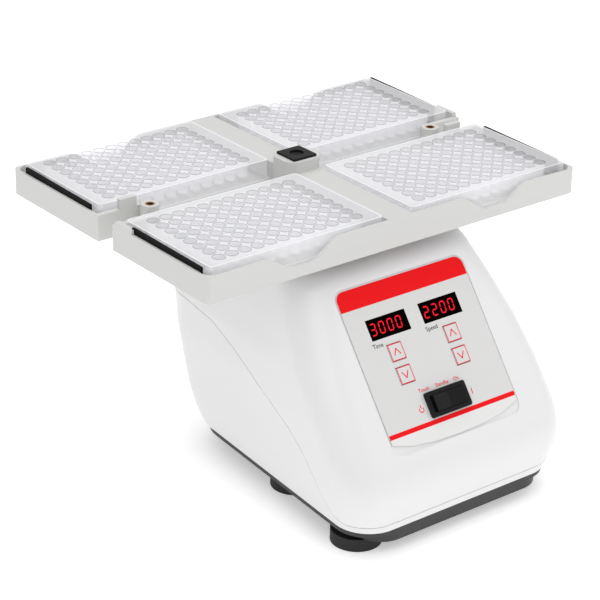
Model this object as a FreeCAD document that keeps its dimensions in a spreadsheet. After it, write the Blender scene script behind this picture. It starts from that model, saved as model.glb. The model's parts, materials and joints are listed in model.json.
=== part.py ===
import FreeCAD, Part
import math
import os
import re
import Sketcher

# Digital vortex mixer that shakes a tray of four microplates.
# Frame: millimetres, X to the right, Y to the back, Z up, ground at Z = 0.

SIZES = {
    # feet and base
    "foot_height": 8.0,
    "foot_radius": 15.5,
    "rear_foot_radius": 12.0,
    "front_foot_x": 61.0,
    "front_foot_y": -105.5,
    "middle_foot_x": 49.0,
    "middle_foot_y": -33.0,
    "rear_foot_x": 27.0,
    "rear_foot_y": 30.0,
    "pan_height": 8.0,
    "pan_floor": 3.0,
    "pan_wall": 3.0,
    "pan_front_half": 69.0,
    "pan_rear_half": 59.0,
    "pan_rear_y": 46.0,
    "pan_corner": 18.0,
    "ballast_thickness": 9.0,
    "ballast_half": 44.0,
    "ballast_front_y": -98.0,
    "ballast_rear_y": -22.0,
    # housing form
    "front_low_y": -131.0,
    "front_corner_y": -135.0,
    "front_corner_z": 45.5,
    "front_bulge": 35.0,
    "panel_y": -71.0,
    "panel_z": 129.0,
    "panel_run": 0.767,
    "body_top": 148.0,
    "body_half": 80.0,
    "flank_swell": 9.0,
    "flank_draw": 4.5,
    "flank_taper": 0.085,
    "low_rear_y": 53.5,
    "rear_lean": 0.29,
    "rear_corner": 30.0,
    "front_edge": 22.0,
    "top_edge": 7.0,
    "wall": 3.0,
    "housing_floor": 2.5,
    "parting_gap": 0.4,
    # control panel
    "panel_tilt": 52.52,
    "overlay_half": 49.0,
    "overlay_top": 12.3,
    "overlay_bottom": -81.5,
    "overlay_sag": 6.5,
    "overlay_corner": 6.0,
    "overlay_sheet": 1.0,
    "recess_depth": 0.8,
    "recess_margin": 1.0,
    "window_x": 20.2,
    "window_v": -14.5,
    "window_length": 30.0,
    "window_height": 12.8,
    "window_depth": 3.2,
    "key_x": 21.7,
    "upper_key_v": -30.8,
    "lower_key_v": -45.1,
    "key_side": 10.3,
    "key_depth": 2.2,
    "key_rise": 0.5,
    "fit_gap": 0.3,
    "switch_v": -67.0,
    "switch_length": 30.6,
    "switch_height": 15.6,
    "bezel_rise": 2.0,
    "bezel_rim": 1.9,
    "switch_body_depth": 12.0,
    "rocker_crown": 2.6,
    "rocker_side_rise": 0.6,
    "rocker_depth": 3.5,
    "board_length": 88.0,
    "board_height": 62.0,
    "board_v": -30.0,
    "board_depth": 9.0,
    "board_thickness": 1.6,
    "post_width": 5.4,
    # drive
    "drive_y": 31.5,
    "orbit_radius": 2.45,
    "motor_radius": 26.0,
    "motor_length": 56.0,
    "shaft_radius": 4.0,
    "shaft_length": 66.0,
    "running_gap": 0.05,
    "bracket_z": 116.0,
    "bracket_thickness": 5.0,
    "bracket_half": 46.0,
    "bracket_front_y": -8.0,
    "bracket_rear_y": 50.0,
    "standoff_x": 38.0,
    "standoff_front_y": -1.0,
    "standoff_rear_y": 32.0,
    "standoff_radius": 5.0,
    "hub_radius": 13.0,
    "hub_bottom": 124.0,
    "hub_length": 16.0,
    "pin_radius": 7.5,
    "pin_length": 14.0,
    "weight_radius": 27.0,
    "weight_thickness": 9.0,
    "bearing_split": 11.7,
    "bearing_radius": 16.0,
    "bearing_width": 10.0,
    "neck_radius": 22.0,
    "neck_bottom": 142.0,
    "neck_top": 158.0,
    "flange_radius": 40.0,
    "flange_thickness": 3.0,
    "collar_radius": 30.0,
    "collar_bore": 27.0,
    "collar_height": 3.0,
    "boot_wall": 2.8,
    # inlet
    "inlet_z": 46.0,
    "inlet_width": 48.0,
    "inlet_height": 27.0,
    "inlet_proud": 5.5,
    "inlet_depth": 26.0,
    "socket_width": 25.0,
    "socket_height": 17.0,
    "socket_depth": 15.0,
    "pin_spacing": 7.0,
    "contact_radius": 1.6,
    # tray
    "end_wall": 1.75,
    "rim_wall": 2.4,
    "tray_bottom": 155.0,
    "tray_rim": 170.5,
    "tray_corner": 9.0,
    "tray_skirt": 3.0,
    "plate_floor": 163.65,
    "floor_thickness": 2.65,
    "plate_length": 127.76,
    "plate_depth": 85.48,
    "plate_height": 14.35,
    "plate_gap_x": 19.24,
    "plate_gap_y": 23.52,
    "plate_clearance": 0.35,
    "end_wall_height": 13.0,
    "end_wall_half": 34.0,
    "web_height": 12.3,
    "scoop_half": 16.0,
    "scoop_ramp": 20.0,
    "scoop_drop": 6.2,
    "notch_half": 7.5,
    "notch_reach": 26.5,
    "notch_wall": 3.6,
    "boss_setback": 31.7,
    "boss_radius": 5.5,
    "boss_height": 13.5,
    "insert_radius": 3.0,
    "insert_bore": 2.1,
    "insert_length": 9.0,
    "centre_hub_half": 13.0,
    "centre_hub_radius": 8.0,
    "centre_hub_height": 19.3,
    "cap_side": 17.3,
    "cap_thickness": 1.5,
    "cap_bore": 4.4,
    "screw_head_radius": 4.0,
    "screw_head_height": 4.0,
    "screw_radius": 2.5,
    "pad_thickness": 1.5,
    "pad_half": 33.0,
    "pad_height": 14.2,
    # microplate
    "plate_flange": 2.6,
    "plate_step": 1.4,
    "plate_corner": 1.8,
    "well_pitch": 9.0,
    "well_columns": 12,
    "well_rows": 8,
    "well_width": 6.2,
    "well_depth": 10.9,
}

doc = FreeCAD.newDocument("vortex_mixer")
sheet = doc.addObject("Spreadsheet::Sheet", "sheet")
for row, (size_name, size_value) in enumerate(SIZES.items(), start=1):
    sheet.set("A%d" % row, str(size_value))
    sheet.setAlias("A%d" % row, size_name)
probe = doc.addObject("App::FeaturePython", "probe")
doc.recompute()

NODES = {}

# Places that follow from the sizes above
LED = {
    "plate_x": "((plate_length + plate_gap_x) / 2)",
    "plate_y": "((plate_depth + plate_gap_y) / 2)",
    "tray_half_length": "(plate_length + plate_gap_x / 2 + plate_clearance + pad_thickness + end_wall)",
    "tray_half_depth": "(plate_depth + plate_gap_y / 2 + plate_clearance + rim_wall)",
    "notch_inner_x": "(tray_half_length - notch_reach)",
    "boss_x": "(tray_half_length - boss_setback)",
}


def bound(formula):
    """The formula with each size name led back to the sheet."""
    def lead(match):
        word = match.group(0)
        if word in LED:
            return bound(LED[word])
        return "sheet." + word if word in SIZES else word
    return re.sub(r"[a-z][a-z_]*", lead, str(formula))


def size(formula):
    """The number that a formula of sizes gives."""
    result = probe.evalExpression(bound(formula))
    return float(getattr(result, "Value", result))


def bind(item, prop, formula):
    item.setExpression(prop, bound(formula))


def new_body(name):
    return doc.addObject("PartDesign::Body", name)


def origin_plane(body, role):
    return [f for f in body.Origin.OriginFeatures if f.Role == role][0]


def outline(body, name, rings, lift="0", role="XY_Plane"):
    """A sketch of closed rings: corner lists, or (x, y, radius) circles."""
    sketch = body.newObject("Sketcher::SketchObject", name)
    sketch.AttachmentSupport = [(origin_plane(body, role), "")]
    sketch.MapMode = "FlatFace"
    bind(sketch, "AttachmentOffset.Base.z", lift)
    for ring in rings:
        if isinstance(ring, tuple):
            draw_circle(sketch, ring)
        else:
            draw_polygon(sketch, ring)
    return sketch


def draw_circle(sketch, ring):
    centre = FreeCAD.Vector(size(ring[0]), size(ring[1]), 0)
    axis = FreeCAD.Vector(0, 0, 1)
    item = sketch.addGeometry(Part.Circle(centre, axis, size(ring[2])), False)
    hold(sketch, "DistanceX", item, 3, ring[0])
    hold(sketch, "DistanceY", item, 3, ring[1])
    radius = Sketcher.Constraint("Radius", item, size(ring[2]))
    index = sketch.addConstraint(radius)
    bind(sketch, "Constraints[%d]" % index, ring[2])


def draw_polygon(sketch, ring):
    points = [FreeCAD.Vector(size(x), size(y), 0) for x, y in ring]
    first = None
    count = len(points)
    for index in range(count):
        line = Part.LineSegment(points[index], points[(index + 1) % count])
        item = sketch.addGeometry(line, False)
        first = item if first is None else first
    for index in range(count):
        following = first + (index + 1) % count
        joint = Sketcher.Constraint("Coincident", first + index, 2, following, 1)
        sketch.addConstraint(joint)
    for index, (x, y) in enumerate(ring):
        hold(sketch, "DistanceX", first + index, 1, x)
        hold(sketch, "DistanceY", first + index, 1, y)


def hold(sketch, kind, item, point, formula):
    index = sketch.addConstraint(Sketcher.Constraint(kind, -1, 1, item, point, size(formula)))
    bind(sketch, "Constraints[%d]" % index, formula)


def draw_rounded(sketch, ring, radii):
    """A closed ring whose corners carry arcs of the given radii."""
    spots = [FreeCAD.Vector(size(x), size(y), 0) for x, y in ring]
    count = len(spots)
    starts = []
    ends = []
    for index, corner in enumerate(spots):
        reach = size(radii[index])
        back = (spots[index - 1] - corner).normalize()
        onward = (spots[(index + 1) % count] - corner).normalize()
        half_angle = back.getAngle(onward) / 2
        along = reach / math.tan(half_angle)
        inward = (back + onward).normalize()
        centre = corner + inward * (reach / math.sin(half_angle))
        starts.append(corner + back * along)
        ends.append(corner + onward * along)
        arc = sketch.addGeometry(Part.Arc(starts[-1], centre - inward * reach, ends[-1]), False)
        held = sketch.addConstraint(Sketcher.Constraint("Radius", arc, reach))
        bind(sketch, "Constraints[%d]" % held, radii[index])
    for index in range(count):
        side = Part.LineSegment(ends[index], starts[(index + 1) % count])
        line = sketch.addGeometry(side, False)
        if abs(ends[index].y - starts[(index + 1) % count].y) < 1e-6:
            hold(sketch, "DistanceY", line, 1, ring[index][1])


def rectangle(x0, x1, y0, y1):
    return [(x0, y0), (x1, y0), (x1, y1), (x0, y1)]


def many_sided(x, y, radius, sides):
    """Corners of a regular outline on a circle, for pieces that repeat."""
    ring = []
    for index in range(sides):
        turn = 2 * math.pi * index / sides
        ring.append(("%s + (%s) * %.6f" % (x, radius, math.cos(turn)),
                     "%s + (%s) * %.6f" % (y, radius, math.sin(turn))))
    return ring


def centred(x, y, length, depth):
    return rectangle(
        "%s - (%s) / 2" % (x, length),
        "%s + (%s) / 2" % (x, length),
        "%s - (%s) / 2" % (y, depth),
        "%s + (%s) / 2" % (y, depth),
    )


def pad(body, name, rings, bottom, height, role="XY_Plane", middle=False):
    """Material from the level named bottom up through height."""
    sketch = outline(body, name + "_outline", rings, bottom, role)
    feature = body.newObject("PartDesign::Pad", name)
    feature.Profile = sketch
    bind(feature, "Length", height)
    if middle:
        feature.Midplane = True
    doc.recompute()
    body.Tip = feature
    return feature


def pocket(body, name, rings, top, depth):
    """A hollow from the level named top down through depth."""
    before = body.Shape.Volume
    sketch = outline(body, name + "_outline", rings, top)
    feature = body.newObject("PartDesign::Pocket", name)
    feature.Profile = sketch
    bind(feature, "Length", depth)
    doc.recompute()
    body.Tip = feature
    if feature.Shape.Volume >= before:
        raise RuntimeError("pocket %s removed nothing" % name)
    return feature


def upright_edges(shape, wanted=None):
    names = []
    for index, edge in enumerate(shape.Edges, start=1):
        ends = [v.Point for v in edge.Vertexes]
        if len(ends) != 2:
            continue
        along = ends[1] - ends[0]
        upright = abs(along.x) < 1e-6 and abs(along.y) < 1e-6
        if upright and (wanted is None or wanted(ends[0])):
            names.append("Edge%d" % index)
    return names


def round_edges(body, name, names, radius):
    base = body.Tip
    feature = body.newObject("PartDesign::Fillet", name)
    feature.Base = (base, names)
    bind(feature, "Radius", radius)
    doc.recompute()
    body.Tip = feature
    return feature


def bevel_edges(body, name, names, width):
    base = body.Tip
    feature = body.newObject("PartDesign::Chamfer", name)
    feature.Base = (base, names)
    bind(feature, "Size", width)
    doc.recompute()
    body.Tip = feature
    return feature


def tilt_to_panel(body):
    """Stand a body that was drawn flat on the sloping control panel."""
    place = FreeCAD.Placement()
    place.Rotation = FreeCAD.Rotation(FreeCAD.Vector(1, 0, 0), size("panel_tilt"))
    body.Placement = place
    bind(body, "Placement.Base.y", "panel_y")
    bind(body, "Placement.Base.z", "panel_z")
    bind(body, "Placement.Rotation.Angle", "panel_tilt")
    doc.recompute()


def cut(name, base, tools):
    item = doc.addObject("Part::Cut", name)
    item.Base = base
    item.Tool = tools[0] if len(tools) == 1 else joined(name + "_tools", tools)
    doc.recompute()
    return item


def joined(name, items):
    item = doc.addObject("Part::MultiFuse", name)
    item.Shapes = items
    doc.recompute()
    return item


def shared(name, first, second):
    item = doc.addObject("Part::Common", name)
    item.Base = first
    item.Tool = second
    doc.recompute()
    return item


def node(name, item):
    item.Label = name
    NODES[name] = item
    return item


def turned(name, pieces):
    """A body of stacked discs: rows of (x, y, radius, bottom, height, bore)."""
    body = new_body(name)
    for index, (x, y, radius, bottom, height, bore) in enumerate(pieces):
        rings = [(x, y, radius)]
        if bore:
            rings.append((bore[0], bore[1], bore[2]))
        pad(body, "%s_step%d" % (name, index), rings, bottom, height)
    return body


# Base: a dark pan on six rubber feet, weighted at the front
PAN_FRONT = "front_low_y"
PAN_TOP = "foot_height + pan_height"
base_pan = new_body("base_pan_body")
pan_ring = [
    ("-pan_front_half", PAN_FRONT),
    ("pan_front_half", PAN_FRONT),
    ("pan_rear_half", "pan_rear_y"),
    ("-pan_rear_half", "pan_rear_y"),
]
pan_plate = pad(base_pan, "pan_plate", [pan_ring], "foot_height", "pan_height")
round_edges(base_pan, "pan_corners", upright_edges(pan_plate.Shape), "pan_corner")
pan_hollow = [
    ("pan_wall * 2 - pan_front_half", PAN_FRONT + " + pan_wall * 2"),
    ("pan_front_half - pan_wall * 2", PAN_FRONT + " + pan_wall * 2"),
    ("pan_rear_half - pan_wall * 2", "pan_rear_y - pan_wall * 2"),
    ("pan_wall * 2 - pan_rear_half", "pan_rear_y - pan_wall * 2"),
]
chamfered = []
for corner, (x, y) in enumerate(pan_hollow):
    inward = "+ pan_corner / 2" if corner in (0, 3) else "- pan_corner / 2"
    upward = "+ pan_corner / 2" if corner < 2 else "- pan_corner / 2"
    along_x = (x + inward, y)
    along_y = (x, y + upward)
    chamfered += [along_y, along_x] if corner in (0, 2) else [along_x, along_y]
pocket(base_pan, "pan_hollow", [chamfered], PAN_TOP, "pan_height - pan_floor")
node("base_pan", base_pan)

ballast = new_body("ballast_body")
PAN_FLOOR = "foot_height + pan_floor"
pad(ballast, "ballast_slab",
    [rectangle("-ballast_half", "ballast_half", "ballast_front_y", "ballast_rear_y")],
    PAN_FLOOR, "ballast_thickness")
node("ballast_plate", ballast)

FOOT_SIDES = 32
FEET = {
    "foot_front": ("front_foot_x", "front_foot_y", "foot_radius"),
    "foot_middle": ("middle_foot_x", "middle_foot_y", "foot_radius"),
    "foot_rear": ("rear_foot_x", "rear_foot_y", "rear_foot_radius"),
}
for foot_name, (x, y, radius) in FEET.items():
    for side, sign in (("left", "-"), ("right", "")):
        label = "%s_%s" % (foot_name, side)
        foot = new_body(label + "_body")
        pad(foot, label + "_pad", [many_sided(sign + x, y, radius, FOOT_SIDES)], "0", "foot_height")
        node(label, foot)


# Housing: level outlines, joined by ruled faces from the lip to the crown.
# Each table row is a share of a named size.
HOUSING_BOTTOM = "foot_height + pan_height"
LIP = (0.0, 0.4)
BULGE_STEPS = 4
PANEL_LEVELS = (0.25, 0.52, 0.78)
CROWN_STEPS = 3
FLANK = (
    (16, 0.0), (22, 0.28), (31, 0.58), (41, 0.78), (57, 0.89), (76, 1.0),
    (95, 0.9), (115, 0.48), (130, 0.0), (141, -0.33), (148, -0.5),
)


def swell_at(level):
    """The flank's share of its swell at a height, read off the table."""
    share = (level - size(HOUSING_BOTTOM)) / (size("body_top") - size(HOUSING_BOTTOM))
    height = FLANK[0][0] + share * (FLANK[-1][0] - FLANK[0][0])
    for (low, first), (high, second) in zip(FLANK, FLANK[1:]):
        if height <= high:
            return first + (second - first) * (height - low) / (high - low)
    return FLANK[-1][1]


def level_table():
    """Rows of (height, front, inset) formulas from the bottom to the top."""
    lean = math.atan2(size("front_low_y - front_corner_y"), size("front_corner_z - (%s)" % HOUSING_BOTTOM))
    rake = math.atan(size("panel_run"))
    reach = math.tan((lean + rake) / 2)
    centre = (reach * math.sin(lean) + math.cos(lean), math.sin(lean) - reach * math.cos(lean))
    bulge = []
    for step in range(BULGE_STEPS + 1):
        turn = (lean + rake) * step / BULGE_STEPS - lean
        bulge.append((round(centre[0] - math.cos(turn), 5), round(centre[1] + math.sin(turn), 5)))
    rows = []
    lip_run = "(front_corner_y + front_bulge * (%s) - front_low_y)" % bulge[0][0]
    lip_rise = "(front_corner_z + front_bulge * (%s) - (%s))" % (bulge[0][1], HOUSING_BOTTOM)
    for share in LIP:
        rows.append(("%s + %s * %s" % (HOUSING_BOTTOM, lip_rise, share),
                     "front_low_y + %s * %s" % (lip_run, share), "0"))
    for run, rise in bulge:
        rows.append(("front_corner_z + front_bulge * (%s)" % rise,
                     "front_corner_y + front_bulge * (%s)" % run, "0"))
    start = "(front_corner_z + front_bulge * (%s))" % bulge[-1][1]
    span = "(body_top - top_edge - %s)" % start
    for share in PANEL_LEVELS:
        height = "%s + %s * %s" % (start, span, share)
        rows.append((height, "panel_y + panel_run * (%s - panel_z)" % height, "0"))
    for step in range(CROWN_STEPS + 1):
        turn = math.pi / 2 * step / CROWN_STEPS
        height = "body_top - top_edge + top_edge * %.5f" % math.sin(turn)
        front = "panel_y + panel_run * (%s - panel_z)" % height
        rows.append((height, front, "top_edge * %.5f" % (1 - math.cos(turn))))
    return rows


def level_ring(height, front, inset):
    """Four corners of the housing's outline at one height."""
    swell = swell_at(size(height))
    part = "flank_swell" if swell >= 0 else "(flank_draw * 2)"
    half = "body_half + %s * %s - %s" % (part, round(swell, 4), inset)
    rear = "low_rear_y + rear_lean * (%s - %s) - %s" % (height, HOUSING_BOTTOM, inset)
    near = "%s + %s" % (front, inset)
    near_half = "(%s - flank_taper * (%s - front_low_y))" % (half, near)
    far_half = "(%s - flank_taper * (%s - front_low_y))" % (half, rear)
    return [("-" + near_half, near), (near_half, near), (far_half, rear), ("-" + far_half, rear)]


def loft_levels(name, outlines):
    loft = doc.addObject("Part::Loft", name)
    loft.Sections = outlines
    loft.Solid = True
    loft.Ruled = True
    doc.recompute()
    return loft


def level_sketch(name, height):
    sketch = doc.addObject("Sketcher::SketchObject", name)
    bind(sketch, "Placement.Base.z", height)
    return sketch


outlines = []
for index, (height, front, inset) in enumerate(level_table()):
    section = level_sketch("outer_level%d" % index, height)
    draw_rounded(section, level_ring(height, front, inset),
                 ["front_edge - " + inset, "front_edge - " + inset, "rear_corner - " + inset, "rear_corner - " + inset])
    outlines.append(section)
outer_form = loft_levels("outer_form", outlines)

# The hollow has plain faces and cut corners
outlines = []
HOLLOW_LEVELS = (
    (HOUSING_BOTTOM + " + housing_floor", "front_low_y + wall * 1.3"),
    ("front_corner_z", "front_corner_y + wall * 1.5"),
    ("front_corner_z + 32", "panel_y + panel_run * (front_corner_z + 32 - panel_z) + wall * 1.26"),
    ("body_top - 35", "panel_y + panel_run * (body_top - 35 - panel_z) + wall * 1.26"),
    ("body_top - wall", "panel_y + panel_run * (body_top - wall - panel_z) + wall * 1.26"),
)
for index, (height, front) in enumerate(HOLLOW_LEVELS):
    section = level_sketch("inner_level%d" % index, height)
    corners = level_ring(height, front + " - wall", "wall")
    ring = []
    for corner, (x, y) in enumerate(corners):
        trim = "front_edge * 0.62" if corner < 2 else "rear_corner * 0.55"
        across = (x + (" + " if corner in (0, 3) else " - ") + trim, y)
        along = (x, y + (" + " if corner < 2 else " - ") + trim)
        ring += [along, across] if corner in (0, 2) else [across, along]
    draw_polygon(section, ring)
    outlines.append(section)
inner_form = loft_levels("inner_form", outlines)
floor_hole = new_body("floor_hole")
pad(floor_hole, "floor_hole_pad", [chamfered], HOUSING_BOTTOM + " - 1", "housing_floor + 2")
shell = cut("shell", outer_form, [inner_form, floor_hole])

# Parting curve on the sides, from the rear down to the lip at the front
PARTING = [
    ("low_rear_y + 70", "body_top - 48"),
    ("drive_y + 20", "body_top - 48.5"),
    ("drive_y - 12", "body_top - 51"),
    ("drive_y - 36", "body_top - 58"),
    ("drive_y - 57", "body_top - 66"),
    ("drive_y - 78", "body_top - 75"),
    ("drive_y - 98", "body_top - 84"),
    ("drive_y - 113", "body_top - 94"),
    ("drive_y - 124", "body_top - 105"),
    ("drive_y - 133", "body_top - 117"),
    ("drive_y - 140", "body_top - 124.5"),
    ("drive_y - 148", "body_top - 127.5"),
    ("front_corner_y - 20", "body_top - 128"),
]


def below_parting(name, raise_by):
    body = new_body(name)
    ring = [("low_rear_y + 70", "0"), ("front_corner_y - 20", "0")]
    ring += [(y, "%s + %s" % (z, raise_by)) for y, z in reversed(PARTING)]
    pad(body, name + "_side", [ring], "0", "body_half * 3", "YZ_Plane", True)
    return body


low_side = below_parting("low_side", "0")
low_side_gap = below_parting("low_side_gap", "parting_gap")
lower_shell = shared("lower_shell", shell, low_side)
upper_shell = cut("upper_shell", shell, [low_side_gap])


# Openings through the sloping panel, drawn flat and stood on the slope
def panel_rectangle(x, v, length, height):
    return centred(x, v, length, height)


SWITCH_HOLE = panel_rectangle("0", "switch_v", "switch_length - 3.2", "switch_height - 2.6")
recess = new_body("panel_recess")
pad(recess, "panel_recess_area",
    [rectangle("-overlay_half - recess_margin", "overlay_half + recess_margin",
               "overlay_bottom - overlay_sag - recess_margin", "overlay_top + recess_margin")],
    "0 - recess_depth", "wall")
recess_corners = upright_edges(recess.Shape)
round_edges(recess, "panel_recess_corners", recess_corners, "overlay_corner + recess_margin")
tilt_to_panel(recess)

holes = new_body("panel_holes")
hole_rings = [SWITCH_HOLE]
for side in ("-", ""):
    hole_rings.append(panel_rectangle(side + "window_x", "window_v", "window_length", "window_height"))
    for level in ("upper_key_v", "lower_key_v"):
        hole_rings.append(panel_rectangle(side + "key_x", level, "key_side + 1", "key_side + 1"))
for index, ring in enumerate(hole_rings):
    one = new_body("panel_hole%d" % index)
    pad(one, "panel_hole_pad%d" % index, [ring], "-wall * 3", "wall * 5")
    tilt_to_panel(one)
    hole_rings[index] = one
doc.removeObject(holes.Name)

collar = turned("collar_body", [("0", "drive_y", "collar_radius", "body_top - wall", "wall + collar_height", None)])
collar_hole = turned("collar_hole", [("0", "drive_y", "collar_bore", "body_top - wall * 3", "wall * 5", None)])
crowned = joined("cover_with_collar", [upper_shell, collar])
upper_cover = cut("upper_cover_cut", crowned, [recess, collar_hole] + hole_rings)
node("upper_cover", upper_cover)

inlet_hole = new_body("inlet_hole")
pad(inlet_hole, "inlet_hole_pad",
    [rectangle("-inlet_width / 2 - fit_gap", "inlet_width / 2 + fit_gap",
               "low_rear_y - 12", "low_rear_y + 40")],
    "inlet_z - inlet_height / 2 - fit_gap", "inlet_height + fit_gap * 2")
lower_housing = cut("lower_housing_cut", lower_shell, [inlet_hole])
node("lower_housing", lower_housing)

# Control panel
overlay = new_body("overlay_body")
SHEET_FLOOR = "0 - recess_depth"
SHEET_TOP = "overlay_sheet - recess_depth"
overlay_ring = [
    ("-overlay_half", "overlay_bottom"),
    ("-overlay_half * 0.72", "overlay_bottom - overlay_sag * 0.62"),
    ("-overlay_half * 0.36", "overlay_bottom - overlay_sag * 0.92"),
    ("0", "overlay_bottom - overlay_sag"),
    ("overlay_half * 0.36", "overlay_bottom - overlay_sag * 0.92"),
    ("overlay_half * 0.72", "overlay_bottom - overlay_sag * 0.62"),
    ("overlay_half", "overlay_bottom"),
    ("overlay_half", "overlay_top"),
    ("-overlay_half", "overlay_top"),
]
sheet_rings = [overlay_ring, SWITCH_HOLE]
for side in ("-", ""):
    sheet_rings.append(panel_rectangle(side + "window_x", "window_v", "window_length", "window_height"))
    for level in ("upper_key_v", "lower_key_v"):
        opening = "key_side + fit_gap * 2"
        sheet_rings.append(panel_rectangle(side + "key_x", level, opening, opening))
overlay_pad = pad(overlay, "overlay_pad", sheet_rings, SHEET_FLOOR, "overlay_sheet")
overlay_top_corners = upright_edges(
    overlay_pad.Shape,
    lambda p: abs(p.y - size("overlay_top")) < 0.01 and abs(abs(p.x) - size("overlay_half")) < 0.01,
)
round_edges(overlay, "overlay_corners", overlay_top_corners, "overlay_corner")
tilt_to_panel(overlay)
node("control_overlay", overlay)

for window_name, side in (("window_time", "-"), ("window_speed", "")):
    window = new_body(window_name + "_body")
    ring = panel_rectangle(side + "window_x", "window_v", "window_length - 0.1", "window_height - 0.1")
    pad(window, window_name + "_pad", [ring], SHEET_TOP + " - window_depth", "window_depth")
    tilt_to_panel(window)
    node(window_name, window)

KEYS = {
    "key_time_up": ("-key_x", "upper_key_v"),
    "key_time_down": ("-key_x", "lower_key_v"),
    "key_speed_up": ("key_x", "upper_key_v"),
    "key_speed_down": ("key_x", "lower_key_v"),
}
for key_name, (x, v) in KEYS.items():
    key = new_body(key_name + "_body")
    key_pad = pad(key, key_name + "_pad", [panel_rectangle(x, v, "key_side", "key_side")],
                  SHEET_TOP + " + key_rise - key_depth", "key_depth")
    round_edges(key, key_name + "_corners", upright_edges(key_pad.Shape), "fit_gap * 3")
    tilt_to_panel(key)
    node(key_name, key)

bezel = new_body("bezel_body")
ROCKER_WELL = panel_rectangle("0", "switch_v", "switch_length - bezel_rim * 2 - 2", "switch_height - bezel_rim * 2 - 1.4")
bezel_pad = pad(bezel, "bezel_rim_pad",
                [panel_rectangle("0", "switch_v", "switch_length", "switch_height"), ROCKER_WELL],
                SHEET_TOP, "bezel_rise")
round_edges(bezel, "bezel_corners", upright_edges(
    bezel_pad.Shape, lambda p: abs(abs(p.x) - size("switch_length / 2")) < 0.01), "fit_gap * 5")
pad(bezel, "bezel_box",
    [panel_rectangle("0", "switch_v", "switch_length - 3.4", "switch_height - 2.8"), ROCKER_WELL],
    SHEET_TOP + " - switch_body_depth", "switch_body_depth")
pad(bezel, "bezel_floor",
    [panel_rectangle("0", "switch_v", "switch_length - 3.4", "switch_height - 2.8")],
    SHEET_TOP + " - switch_body_depth", "1.5")
tilt_to_panel(bezel)
node("switch_bezel", bezel)

rocker = new_body("rocker_body")
ROCKER_HALF = "(switch_length / 2 - bezel_rim - 1 - fit_gap * 3)"
ROCKER_TOP = "overlay_sheet - recess_depth + bezel_rise + rocker_side_rise"
rocker_ring = [
    ("-" + ROCKER_HALF, ROCKER_TOP + " - rocker_depth"),
    ("-" + ROCKER_HALF + " / 2", ROCKER_TOP + " - rocker_depth * 1.6"),
    (ROCKER_HALF + " / 2", ROCKER_TOP + " - rocker_depth * 1.6"),
    (ROCKER_HALF, ROCKER_TOP + " - rocker_depth"),
    (ROCKER_HALF, ROCKER_TOP + " + rocker_crown / 2"),
    ("0", ROCKER_TOP),
    ("-" + ROCKER_HALF, ROCKER_TOP + " + rocker_crown / 2"),
]
pad(rocker, "rocker_pad", [rocker_ring], "0 - switch_v",
    "switch_height - bezel_rim * 2 - 1.4 - fit_gap * 2", "XZ_Plane", True)
tilt_to_panel(rocker)
node("switch_rocker", rocker)

board = new_body("board_body")
BOARD_TOP = "0 - board_depth"
pad(board, "board_sheet",
    [panel_rectangle("0", "board_v + 4", "board_length", "board_height - 8")],
    BOARD_TOP + " - board_thickness", "board_thickness")
for index, (x, y) in enumerate((("-", "-"), ("", "-"), ("-", ""), ("", ""))):
    pad(board, "board_post%d" % index,
        [centred(x + "(board_length / 2 - 5)", "board_v + 4 " + (y or "+") + " (board_height / 2 - 8)",
                 "post_width", "post_width")],
        BOARD_TOP, "board_depth - wall")
for index, side in enumerate(("-", "")):
    for level in ("upper_key_v", "lower_key_v"):
        pad(board, "board_switch_%s%d" % (level, index),
            [panel_rectangle(side + "key_x", level, "key_side / 2", "key_side / 2")],
            BOARD_TOP, "board_depth + " + SHEET_TOP + " + key_rise - key_depth - 0.6")
    pad(board, "board_socket%d" % index,
        [panel_rectangle(side + "window_x", "window_v", "window_length - 6", "window_height - 4")],
        BOARD_TOP, "board_depth + " + SHEET_TOP + " - window_depth")
tilt_to_panel(board)
node("control_board", board)

# Power inlet set into the leaning rear wall
inlet = new_body("inlet_body")
INLET_FACE = "low_rear_y + (inlet_z - foot_height - pan_height) * rear_lean + inlet_proud"
INLET_LOW = "inlet_z - inlet_height / 2"
pad(inlet, "inlet_block",
    [rectangle("-inlet_width / 2", "inlet_width / 2", INLET_FACE + " - inlet_depth", INLET_FACE)],
    INLET_LOW, "inlet_height")
SOCKET_BACK = INLET_FACE + " - socket_depth"
socket_ring = [
    ("-socket_width / 2", "inlet_z - socket_height / 2"),
    ("socket_width / 2", "inlet_z - socket_height / 2"),
    ("socket_width / 2", "inlet_z + socket_height / 5"),
    ("socket_width / 3", "inlet_z + socket_height / 2"),
    ("-socket_width / 3", "inlet_z + socket_height / 2"),
    ("-socket_width / 2", "inlet_z + socket_height / 5"),
]
solid_volume = inlet.Shape.Volume
socket_outline = outline(inlet, "socket_outline", [socket_ring], "0 - (%s)" % SOCKET_BACK, "XZ_Plane")
socket = inlet.newObject("PartDesign::Pocket", "socket")
socket.Profile = socket_outline
bind(socket, "Length", "socket_depth + 1")
doc.recompute()
inlet.Tip = socket
if inlet.Shape.Volume >= solid_volume:
    raise RuntimeError("the inlet socket removed nothing")
contacts = (
    ("live", "-pin_spacing", "inlet_z - pin_spacing / 3"),
    ("earth", "0", "inlet_z + pin_spacing / 3"),
    ("neutral", "pin_spacing", "inlet_z - pin_spacing / 3"),
)
for contact_name, x, z in contacts:
    pad(inlet, "contact_" + contact_name, [(x, z, "contact_radius")],
        "0 - (%s) + socket_depth / 3" % INLET_FACE, "socket_depth", "XZ_Plane")
node("power_inlet", inlet)

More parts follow.
